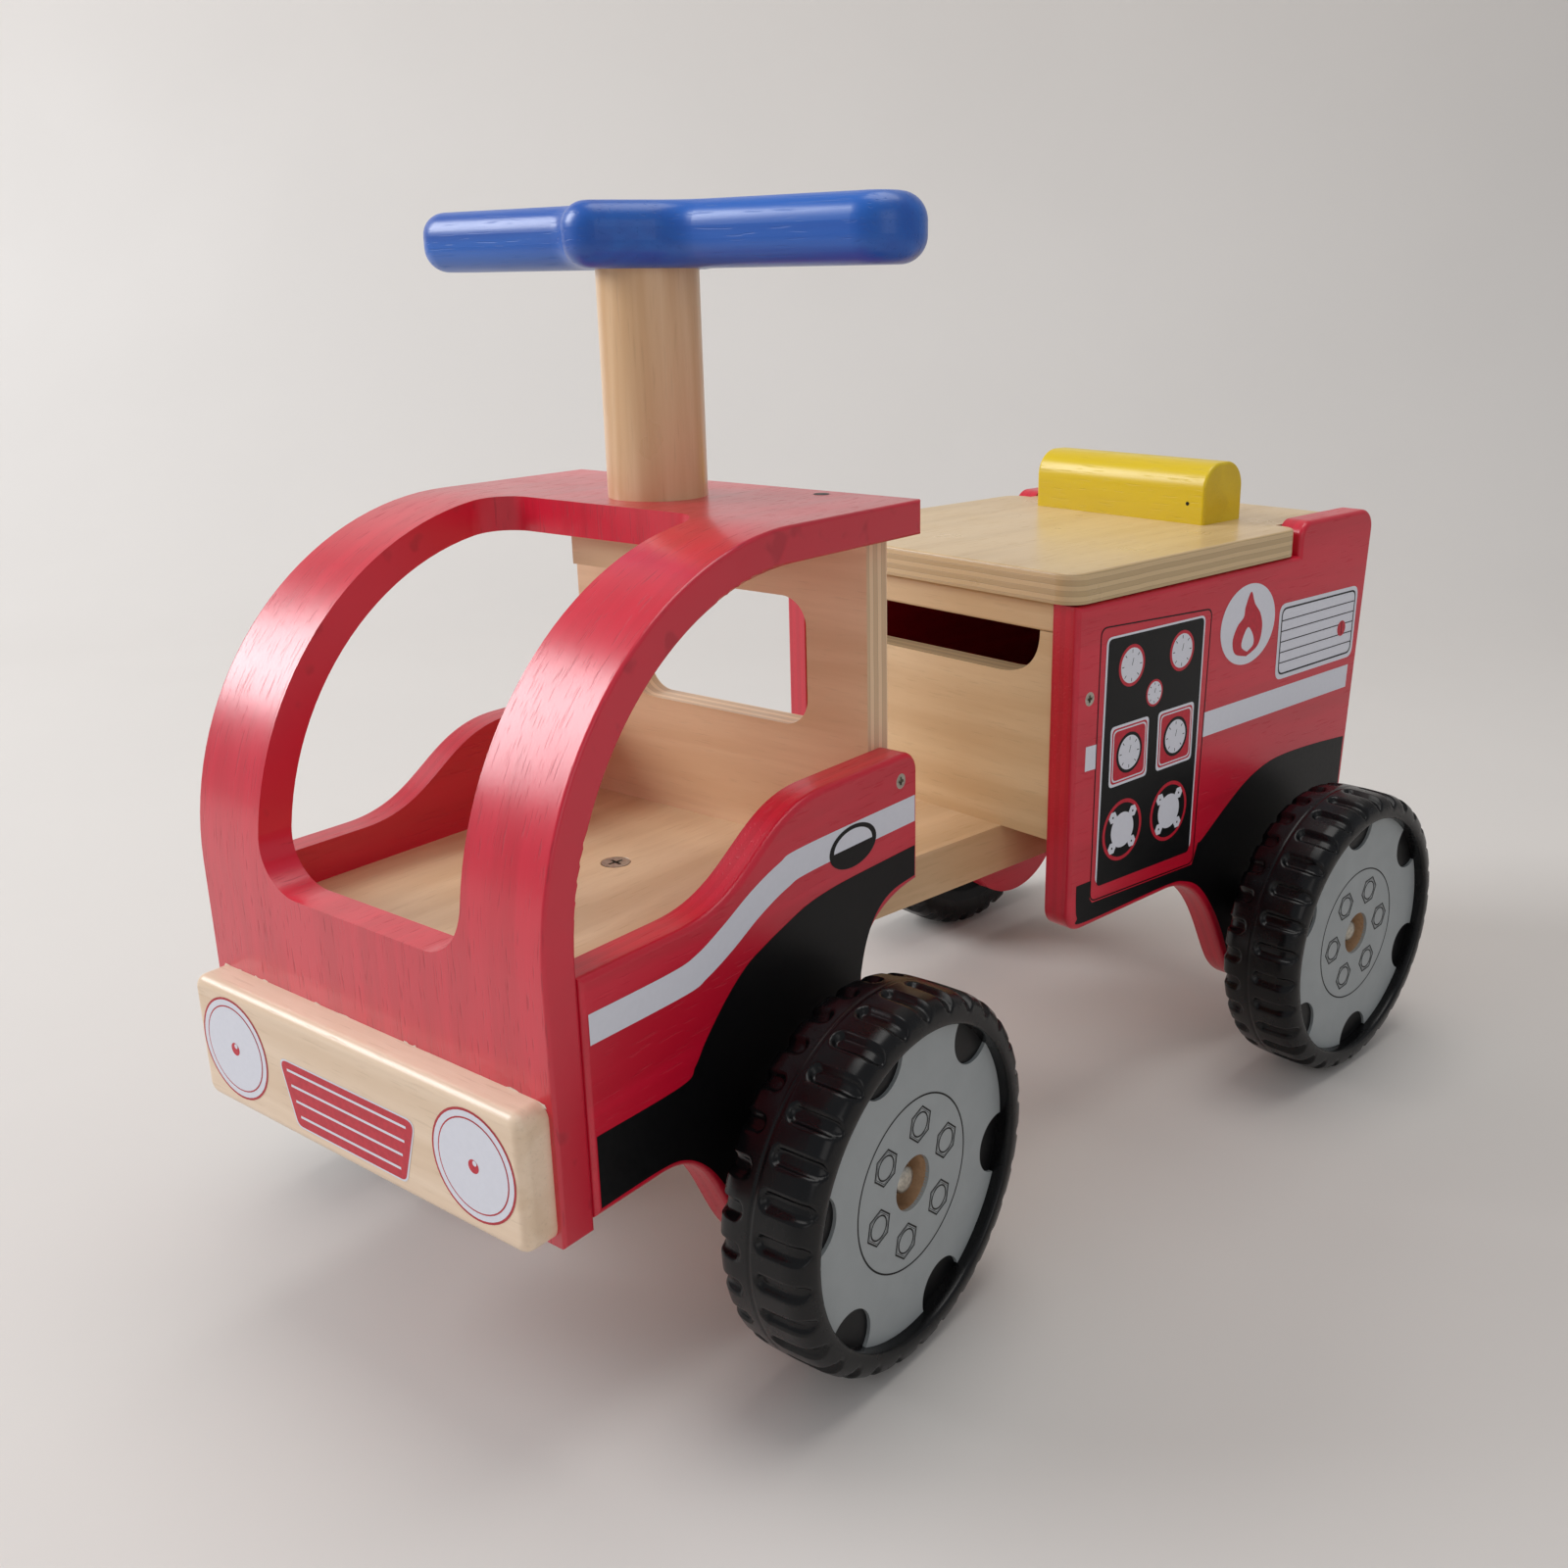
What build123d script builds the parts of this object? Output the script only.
from build123d import *
import os

# A child's wooden ride-on fire engine. The cab turns on a kingpin above the front axle
# and steers the front wheels; the seat is the hinged lid of a storage box.
# Millimetres, +Z up, front of the vehicle at -Y, its left side at +X.
# Everything is drawn from the ground point under the kingpin and moved at the end, so
# that the origin is on the ground in the middle of the overall box.

# ---- sizes ----
BODY_WIDTH = 168.0        # outside to outside of the side panels
PLY = 12.0                # every plywood board
TYRE_RADIUS = 65.0
TYRE_WIDTH = 36.0
WHEELBASE = 308.9
WHEEL_GAP = 16.7          # side panel to tyre
AXLE_DIA = 8.0
CAB_TURN = 9.6            # how far the cab is modelled steered to the left, degrees

DECK_RISE = 69.4          # axle centre to the top of the chassis beam
BEAM_WIDTH = 94.0
BEAM_DEPTH = 20.0
SLIP_GAP = 2.6            # beam to cab floor, filled by the slip washer
KINGPIN_DIA = 6.0

CAB_FRONT = 108.5         # kingpin to the front panel's face
CAB_BACK = 71.0           # kingpin to the cab's rear edge
BEND_CENTRE = 3.5         # kingpin to the centre of the bend from front panel to roof
ROOF_RISE = 143.3         # deck to the roof's top
DOOR_RISE = 54.6          # deck to the cab side's rear shoulder
SILL_RISE = 28.6          # deck to the windscreen's sill and the cab side's front top
WINDSCREEN_WIDTH = 99.0
BUMPER_DEPTH = 11.0
BUMPER_HEIGHT = 45.0
BUMPER_WIDTH = 163.0
COLUMN_DIA = 35.0
COLUMN_BACK = 31.3        # kingpin to the column
HANDLE_RISE = 240.1       # deck to the handle's top
HANDLE_SPAN = 220.0
GRIP_DEPTH = 29.4
HANDLE_THICK = 21.0

BOX_SHARE = 0.51246       # kingpin to the box's front panel, as a share of the wheelbase
BOX_RISE = 96.6           # deck to the top of the box's side panels
EAR_RISE = 15.0           # the ears' height above the side panels' top
LID_SHARE = 0.7025        # front edge to hinge end, as a share of the wheelbase
BAR_LENGTH = 97.0
BAR_DEPTH = 30.0
BAR_HEIGHT = 27.0
SCREW_HEAD = 5.6
EDGE = 1.2                # rounding of sanded board edges
SIDE_EDGE = 2.2           # rounding of the side panels' outer edges
GAP = 0.3

# ---- places that follow from them ----
ROOF_RADIUS = CAB_FRONT + BEND_CENTRE
BOX_FRONT = WHEELBASE * BOX_SHARE
LID_LENGTH = WHEELBASE * LID_SHARE
HALF = BODY_WIDTH / 2
INNER = HALF - PLY
AXLE_Z = TYRE_RADIUS
DECK = AXLE_Z + DECK_RISE
LOBE = DECK_RISE * 0.533
FLOOR_LOW = DECK + SLIP_GAP
FLOOR_TOP = FLOOR_LOW + PLY
ROOF_TOP = DECK + ROOF_RISE
ROOF_LOW = ROOF_TOP - PLY
SILL = DECK + SILL_RISE
DOOR_TOP = DECK + DOOR_RISE
PANEL_LOW = AXLE_Z + 20.5
WALL_BACK = CAB_BACK - 2
WALL_FRONT = WALL_BACK - PLY
HANDLE_TOP = DECK + HANDLE_RISE
WHEEL_IN = HALF + WHEEL_GAP
WHEEL_OUT = WHEEL_IN + TYRE_WIDTH
RIM_RADIUS = TYRE_RADIUS * 0.852
DISC_FACE = WHEEL_OUT - 5.5
BORE_FLOOR = DISC_FACE - 9
REAR_Y = WHEELBASE
BOX_TOP = DECK + BOX_RISE
EAR_TOP = BOX_TOP + EAR_RISE
LID_LOW = BOX_TOP + 0.8
LID_FRONT = BOX_FRONT - 4
HINGE_Y = LID_FRONT + LID_LENGTH - PLY / 2
HINGE_Z = LID_LOW + PLY / 2
EAR_FRONT = HINGE_Y - 49
EAR_BACK = HINGE_Y + 15
BACK_FACE = HINGE_Y + 2.5
BATTEN_Y = REAR_Y - 20.8


def face_of(*curves):
    return make_face(Wire(Curve() + list(curves)).edges())


def board(outline, low, high):
    """A flat board cut to an outline drawn in Y and Z, between two X planes."""
    return extrude(Plane.YZ.offset(low) * outline, high - low)


def block(x0, x1, y0, y1, z0, z1):
    return Pos((x0 + x1) / 2, (y0 + y1) / 2, (z0 + z1) / 2) * Box(x1 - x0, y1 - y0, z1 - z0)


def rod(radius, x0, x1, y, z):
    return Pos((x0 + x1) / 2, y, z) * Rot(0, 90, 0) * Cylinder(radius, x1 - x0)


def post(radius, z0, z1, x=0, y=0):
    return Pos(x, y, (z0 + z1) / 2) * Cylinder(radius, z1 - z0)


def group(shapes):
    """Separate solids that are one sub-part, such as a set of screws."""
    whole = shapes[0]
    for one in shapes[1:]:
        whole += one
    return whole


def screw_body(length=28.0):
    """A countersunk screw along -Z with its flat head at Z = 0."""
    head = SCREW_HEAD / 2
    cone = Pos(0, 0, -head / 2) * Cone(head * 0.45, head, head)
    return cone + post(head * 0.45, -length, -head)


def screw(length=28.0):
    recess = Box(SCREW_HEAD * 0.55, 1.1, 2.4) + Box(1.1, SCREW_HEAD * 0.55, 2.4)
    return screw_body(length) - recess


def sanded(panel):
    """Rounds a side panel's outer edges, by less where the outline is too tight for it."""
    edges = panel.faces().sort_by(Axis.X)[-1].edges()
    for share in (1.0, 0.95, 0.88, 0.8, 0.7, 0.6, 0.5, 0.4):
        try:
            return fillet(edges, SIDE_EDGE * share)
        except ValueError:
            continue
    return panel


def mirrored(shape):
    return mirror(shape, about=Plane.YZ)


def turned(shape):
    return Rot(0, 0, CAB_TURN) * shape


# ---- cab, drawn straight ahead ----
SIDE_SCREW = Pos(HALF, WALL_BACK - 8.6, DOOR_TOP - 9.6) * Rot(0, 90, 0)
ROOF_SCREWS = [Pos(x, WALL_BACK - 4.2, ROOF_TOP) for x in (-46.8, 46.8)]


def cab_side_outline():
    front = -CAB_FRONT + PLY + 0.5
    shoulder = AXLE_Z + 20.5
    lobe_front = (LOBE * -0.848, AXLE_Z - LOBE * 0.53)
    lobe_back = (LOBE, AXLE_Z)
    low_back = FLOOR_LOW + 1.6
    top = [
        Line((front, PANEL_LOW), (front, SILL)),
        Line((front, SILL), (front * 0.557, SILL)),
        Bezier((front * 0.557, SILL), (front * 0.21, SILL), (-16, DOOR_TOP), (17.5, DOOR_TOP)),
        Line((17.5, DOOR_TOP), (CAB_BACK - 8, DOOR_TOP)),
        RadiusArc((CAB_BACK - 8, DOOR_TOP), (CAB_BACK, DOOR_TOP - 8), 8),
        Line((CAB_BACK, DOOR_TOP - 8), (CAB_BACK, low_back)),
    ]
    back = [
        Bezier((CAB_BACK, low_back), (50, low_back - 1), (LOBE, low_back - 10), (LOBE, low_back - 24)),
        Line((LOBE, low_back - 24), lobe_back),
        ThreePointArc(lobe_back, (0, AXLE_Z - LOBE), lobe_front),
    ]
    sweep_up = [
        Bezier(lobe_front, (-LOBE * 1.163, AXLE_Z - LOBE * 0.026), (-45, shoulder), (front * 0.708, shoulder)),
        Line((front * 0.708, shoulder), (front, PANEL_LOW)),
    ]
    return face_of(*top, *back, *sweep_up)


def cab_side(side):
    panel = board(cab_side_outline(), INNER + 0.0, HALF)
    panel = sanded(panel)
    panel -= SIDE_SCREW * screw_body()
    panel -= rod(AXLE_DIA / 2, INNER - 1, HALF + 1, 0, AXLE_Z)
    return panel if side > 0 else mirrored(panel)


def cab_shell():
    """One bent sheet: front panel, windscreen frame and roof."""
    centre = (ROOF_RADIUS - CAB_FRONT, ROOF_TOP - ROOF_RADIUS)
    low = AXLE_Z + 17
    inner = ROOF_RADIUS - PLY
    profile = face_of(
        Line((-CAB_FRONT, low), (-CAB_FRONT, centre[1])),
        CenterArc(centre, ROOF_RADIUS, 180, -90),
        Line((centre[0], ROOF_TOP), (CAB_BACK + 2, ROOF_TOP)),
        Line((CAB_BACK + 2, ROOF_TOP), (CAB_BACK + 2, ROOF_LOW)),
        Line((CAB_BACK + 2, ROOF_LOW), (centre[0], ROOF_LOW)),
        CenterArc(centre, inner, 90, 90),
        Line((-CAB_FRONT + PLY, centre[1]), (-CAB_FRONT + PLY, low)),
        Line((-CAB_FRONT + PLY, low), (-CAB_FRONT, low)),
    )
    sheet = board(profile, -HALF, HALF)
    rims = sheet.edges().filter_by(GeomType.CIRCLE) + sheet.edges().filter_by(Axis.Z)
    sheet = fillet(rims + sheet.edges().filter_by(Axis.Y), EDGE)
    tall = ROOF_TOP - SILL + 20
    width = WINDSCREEN_WIDTH
    front = Plane.XZ.offset(-centre[0] + 24) * Pos(0, SILL + tall / 2) * RectangleRounded(width, tall, 18)
    back = Plane.XY.offset(ROOF_TOP - 70) * Pos(0, centre[0] - 81) * RectangleRounded(width, 160, 14)
    sheet -= extrude(front, 120)
    sheet -= extrude(back, 90)
    sheet -= post(COLUMN_DIA / 2, ROOF_LOW - 5, ROOF_TOP + 5, 0, COLUMN_BACK)
    for place in ROOF_SCREWS:
        sheet -= place * screw_body()
    return sheet


def bumper():
    y = -CAB_FRONT - BUMPER_DEPTH / 2
    z = PANEL_LOW - 1.7 + BUMPER_HEIGHT / 2
    bar = Pos(0, y, z) * Box(BUMPER_WIDTH, BUMPER_DEPTH, BUMPER_HEIGHT)
    bar = fillet(bar.edges().filter_by(Axis.Y), 5)
    return fillet(bar.faces().sort_by(Axis.Y)[0].edges(), 3.5)


def kingpin_head(room=0.0):
    return Pos(0, 0, FLOOR_TOP - 1.25) * Cone(KINGPIN_DIA / 2 + room, KINGPIN_DIA / 2 + 2.2 + room, 2.5)


def cab_floor():
    deck = block(-INNER, INNER, -CAB_FRONT + PLY, WALL_BACK, FLOOR_LOW, FLOOR_TOP)
    deck -= post(KINGPIN_DIA / 2 + 0.08, FLOOR_LOW - 1, FLOOR_TOP + 1)
    return deck - kingpin_head(0.4)


def cab_back_wall():
    wall = block(-INNER, INNER, WALL_FRONT, WALL_BACK, FLOOR_TOP, ROOF_LOW)
    window = Plane.XZ.offset(-WALL_BACK - 5) * Pos(0, FLOOR_TOP + 68.5) * RectangleRounded(90, 48, 11)
    wall -= extrude(window, PLY + 10)
    wall -= SIDE_SCREW * screw_body()
    wall -= mirrored(SIDE_SCREW * screw_body())
    for place in ROOF_SCREWS:
        wall -= place * screw_body()
    return wall


def roof_block():
    pad = Pos(0, COLUMN_BACK, ROOF_LOW - 5.6) * Box(44, 44, 11.2)
    return pad - post(COLUMN_DIA / 2, ROOF_LOW - 30, ROOF_LOW + 5, 0, COLUMN_BACK)


def steering_column():
    return post(COLUMN_DIA / 2, ROOF_LOW - 11.2, HANDLE_TOP - HANDLE_THICK / 2, 0, COLUMN_BACK)


def steering_handle():
    """A rounded diamond hub with two grips, all edges rolled over."""
    hub = Pos(0, 0) * Rot(0, 0, 45) * RectangleRounded(56, 56, 11)
    plan = Pos(0, 2) * RectangleRounded(HANDLE_SPAN, GRIP_DEPTH, GRIP_DEPTH / 2 - 0.05) + Pos(0, 1) * hub
    notches = plan.vertices().filter_by(lambda v: 5 < abs(v.X) < 40)
    plan = fillet(notches, 16)
    grip = extrude(Pos(0, COLUMN_BACK, HANDLE_TOP - HANDLE_THICK) * plan, HANDLE_THICK)
    rim = grip.faces().sort_by(Axis.Z)[-1].edges() + grip.faces().sort_by(Axis.Z)[0].edges()
    grip = fillet(rim, 8.5)
    return grip - steering_column()


def cab_screws():
    sides = [SIDE_SCREW * screw(), mirrored(SIDE_SCREW * screw())]
    return group(sides + [place * screw() for place in ROOF_SCREWS])


# ---- wheels and axles, drawn at Y = 0 ----
def axle():
    return rod(AXLE_DIA / 2, -BORE_FLOOR - 5, BORE_FLOOR + 5, 0, AXLE_Z)


def axle_spacers():
    tube = rod(8, HALF, WHEEL_IN + 1.7, 0, AXLE_Z) - rod(AXLE_DIA / 2, HALF - 1, WHEEL_IN + 3, 0, AXLE_Z)
    return group([tube, mirrored(tube)])


def axle_caps():
    dome = Pos(BORE_FLOOR + 5, 0, AXLE_Z) * scale(Sphere(AXLE_DIA / 2 + 0.9), (0.45, 1, 1))
    skirt = rod(AXLE_DIA / 2 + 0.9, BORE_FLOOR + GAP, BORE_FLOOR + 5, 0, AXLE_Z)
    washer = rod(8.2, BORE_FLOOR + GAP, BORE_FLOOR + GAP + 1, 0, AXLE_Z)
    cap = skirt + dome + washer - rod(AXLE_DIA / 2, -1, BORE_FLOOR + 5, 0, AXLE_Z)
    return group([cap, mirrored(cap)])


def tyre():
    ring = rod(TYRE_RADIUS, WHEEL_IN, WHEEL_OUT, 0, AXLE_Z)
    ring = fillet(ring.edges(), 5)
    return ring - rod(RIM_RADIUS, WHEEL_IN - 1, WHEEL_OUT + 1, 0, AXLE_Z)


def wheel_core():
    core = rod(RIM_RADIUS, WHEEL_IN + 2, DISC_FACE - 1, 0, AXLE_Z)
    core -= rod(AXLE_DIA / 2 + 0.09, WHEEL_IN, DISC_FACE, 0, AXLE_Z)
    return core - rod(9.6, BORE_FLOOR, DISC_FACE, 0, AXLE_Z)


def wheel_disc():
    disc = rod(RIM_RADIUS, DISC_FACE - 1, DISC_FACE, 0, AXLE_Z)
    return disc - rod(9.6, DISC_FACE - 2, DISC_FACE + 1, 0, AXLE_Z)


# ---- chassis and box ----
BOX_SCREWS = [Pos(HALF, BOX_FRONT + 8.2, DECK + 59.4) * Rot(0, 90, 0),
              Pos(HALF, BATTEN_Y, DECK - 31.9) * Rot(0, 90, 0)]
BEAM_SCREWS = [Pos(x, y, DECK + PLY) for x in (-30, 30) for y in (BOX_FRONT + 50, BACK_FACE - 50)]


def box_screw_bodies():
    left = [place * screw_body() for place in BOX_SCREWS]
    return left + [mirrored(one) for one in left]


def chassis_beam():
    bar = block(-BEAM_WIDTH / 2, BEAM_WIDTH / 2, 0, BACK_FACE, DECK - BEAM_DEPTH, DECK)
    bar += post(BEAM_WIDTH / 2, DECK - BEAM_DEPTH, DECK)
    bar -= post(KINGPIN_DIA / 2, DECK - 50, DECK + 5)
    for place in BEAM_SCREWS:
        bar -= place * screw_body()
    return bar


def slip_washer():
    return post(30, DECK, FLOOR_LOW - GAP) - post(KINGPIN_DIA / 2, DECK - 1, FLOOR_LOW)


def kingpin_bolt():
    low = DECK - BEAM_DEPTH - 10
    bolt = post(KINGPIN_DIA / 2, low, FLOOR_TOP) + kingpin_head()
    slots = Box(6, 1.3, 3) + Box(1.3, 6, 3)
    return bolt - Pos(0, 0, FLOOR_TOP) * slots


def kingpin_nut():
    low = DECK - BEAM_DEPTH
    nut = extrude(Pos(0, 0, low - 6.5) * RegularPolygon(6, 6), 6.5)
    washer = post(11, low - 1.5, low)
    return nut + washer - post(KINGPIN_DIA / 2, low - 20, low + 5)


def box_floor():
    deck = block(-INNER, INNER, BOX_FRONT + PLY, BACK_FACE - PLY, DECK, DECK + PLY)
    for place in BEAM_SCREWS:
        deck -= place * screw_body()
    return deck


def box_front_panel():
    """Front board with a dipped top edge that leaves a hand hole under the rail."""
    rail_low = BOX_TOP - 11.6
    dip = rail_low - 18.9
    edge = 65 * INNER / 72
    outline = face_of(
        Line((-INNER, DECK), (INNER, DECK)),
        Line((INNER, DECK), (INNER, rail_low)),
        Line((INNER, rail_low), (edge, rail_low)),
        Bezier((edge, rail_low), (edge, dip + 4), (edge - 10, dip), (edge - 21, dip)),
        Line((edge - 21, dip), (21 - edge, dip)),
        Bezier((21 - edge, dip), (10 - edge, dip), (-edge, dip + 4), (-edge, rail_low)),
        Line((-edge, rail_low), (-INNER, rail_low)),
        Line((-INNER, rail_low), (-INNER, DECK)),
    )
    panel = extrude(Plane.XZ.offset(-BOX_FRONT - PLY) * outline, PLY)
    for one in box_screw_bodies():
        panel -= one
    return panel


def box_cross_rail():
    rail = block(-INNER, INNER, BOX_FRONT, BOX_FRONT + PLY, BOX_TOP - 11.6, BOX_TOP)
    return fillet(rail.edges().filter_by(Axis.X).group_by(Axis.Y)[0], 1.2)


def box_back_panel():
    return block(-INNER, INNER, BACK_FACE - PLY, BACK_FACE, DECK, BOX_TOP)


def rear_side_outline():
    front = BOX_FRONT - 0.8
    low = DECK - 37.9
    lobe_front = (REAR_Y - LOBE * 0.848, AXLE_Z - LOBE * 0.53)
    lobe_back = (REAR_Y + LOBE * 0.848, AXLE_Z - LOBE * 0.53)
    foot = HINGE_Y + 5.5
    return face_of(
        Line((front, low + 9), (front, BOX_TOP)),
        Line((front, BOX_TOP), (EAR_FRONT, BOX_TOP)),
        Line((EAR_FRONT, BOX_TOP), (EAR_FRONT, EAR_TOP - 8)),
        RadiusArc((EAR_FRONT, EAR_TOP - 8), (EAR_FRONT + 8, EAR_TOP), 8),
        Line((EAR_FRONT + 8, EAR_TOP), (EAR_BACK - 9, EAR_TOP)),
        RadiusArc((EAR_BACK - 9, EAR_TOP), (EAR_BACK, EAR_TOP - 9), 9),
        Line((EAR_BACK, EAR_TOP - 9), (foot, low + 9)),
        Bezier((foot, low + 9), (foot - 0.6, low), (foot - 9, low)),
        Bezier((foot - 9, low), (REAR_Y + 46, low), (REAR_Y + LOBE * 1.163, AXLE_Z - LOBE * 0.026), lobe_back),
        ThreePointArc(lobe_back, (REAR_Y, AXLE_Z - LOBE), lobe_front),
        Bezier(lobe_front, (REAR_Y - LOBE * 1.163, AXLE_Z - LOBE * 0.026), (REAR_Y - 52, low), (REAR_Y - 84, low)),
        Line((REAR_Y - 84, low), (front + 9, low)),
        RadiusArc((front + 9, low), (front, low + 9), 9),
    )


def rear_side(side):
    panel = board(rear_side_outline(), INNER, HALF)
    panel = sanded(panel)
    for one in box_screw_bodies():
        panel -= one
    panel -= rod(AXLE_DIA / 2, INNER - 1, HALF + 1, REAR_Y, AXLE_Z)
    panel -= rod(3, INNER - 1, HALF - 3, HINGE_Y, HINGE_Z)
    return panel if side > 0 else mirrored(panel)


def lower_batten():
    bar = block(-INNER, INNER, BATTEN_Y - 12, BATTEN_Y + 12, DECK - BEAM_DEPTH - 17.9, DECK - BEAM_DEPTH)
    for one in box_screw_bodies():
        bar -= one
    return bar


def box_screws():
    left = [place * screw() for place in BOX_SCREWS]
    return group(left + [mirrored(one) for one in left])


def floor_screws():
    return group([place * screw() for place in BEAM_SCREWS])


def hinge_pins():
    pin = rod(3, INNER - 14, HALF - 3, HINGE_Y, HINGE_Z)
    return group([pin, mirrored(pin)])


# ---- seat lid ----
def seat_lid():
    notch = EAR_FRONT - 1.2
    inner = INNER - 0.5
    wide = block(-HALF, HALF, LID_FRONT, notch, LID_LOW, LID_LOW + PLY)
    wide = fillet(wide.edges().filter_by(Axis.Z), 9)
    tongue = block(-inner, inner, notch - 20, HINGE_Y, LID_LOW, LID_LOW + PLY)
    end = rod(PLY / 2, -inner, inner, HINGE_Y, HINGE_Z)
    lid = wide + tongue + end
    top = lid.faces().filter_by(Plane.XY).sort_by(Axis.Z)[-1]
    lid = fillet(top.edges().filter_by(lambda edge: edge.center().Y < notch - 1), EDGE)
    bore = rod(3.08, INNER - 14 - GAP, HALF, HINGE_Y, HINGE_Z)
    return lid - bore - mirrored(bore)


def lid_bar():
    y0 = EAR_FRONT - 25
    bar = block(-BAR_LENGTH / 2, BAR_LENGTH / 2, y0, y0 + BAR_DEPTH, LID_LOW + PLY, LID_LOW + PLY + BAR_HEIGHT)
    bar = fillet(bar.edges().filter_by(Axis.X).group_by(Axis.Z)[-1], 12)
    ends = bar.faces().filter_by(GeomType.PLANE).filter_by(Axis.X).edges()
    return fillet(ends.filter_by(lambda edge: edge.center().Z > LID_LOW + PLY + 0.1), 1.5)


CAB = {
    "cab_shell": cab_shell, "bumper": bumper, "cab_floor": cab_floor, "cab_back_wall": cab_back_wall,
    "roof_block": roof_block, "steering_column": steering_column, "steering_handle": steering_handle,
    "cab_screws": cab_screws, "front_axle": axle, "front_spacers": axle_spacers,
    "front_axle_caps": axle_caps,
}
CHASSIS = {
    "chassis_beam": chassis_beam, "slip_washer": slip_washer, "kingpin_bolt": kingpin_bolt,
    "kingpin_nut": kingpin_nut, "box_floor": box_floor, "box_front_panel": box_front_panel,
    "box_cross_rail": box_cross_rail, "box_back_panel": box_back_panel, "lower_batten": lower_batten,
    "box_screws": box_screws, "floor_screws": floor_screws, "hinge_pins": hinge_pins,
    "seat_lid": seat_lid, "lid_bar": lid_bar,
}
REAR_AXLE = {"rear_axle": axle, "rear_spacers": axle_spacers, "rear_axle_caps": axle_caps}
WHEEL = {"tyre": tyre, "core": wheel_core, "disc": wheel_disc}

pieces = {}
for node, make in CAB.items():
    pieces[node] = turned(make())
for node, make in CHASSIS.items():
    pieces[node] = make()
for node, make in REAR_AXLE.items():
    pieces[node] = Pos(0, REAR_Y, 0) * make()
for side, name in ((1, "left"), (-1, "right")):
    pieces["cab_side_" + name] = turned(cab_side(side))
    pieces["rear_side_" + name] = rear_side(side)
    for node, make in WHEEL.items():
        piece = make() if side > 0 else mirrored(make())
        pieces["front_" + name + "_" + node] = turned(piece)
        pieces["rear_" + name + "_" + node] = Pos(0, REAR_Y, 0) * piece

boxes = [shape.bounding_box() for shape in pieces.values()]
back = max(box.max.Y for box in boxes)
front = min(box.min.Y for box in boxes)
middle = (back + front) / 2
print("kingpin at y", round(-middle, 3))

os.makedirs("parts", exist_ok=True)
for node, shape in pieces.items():
    export_step(Pos(0, -middle, 0) * shape, "parts/" + node + ".step")
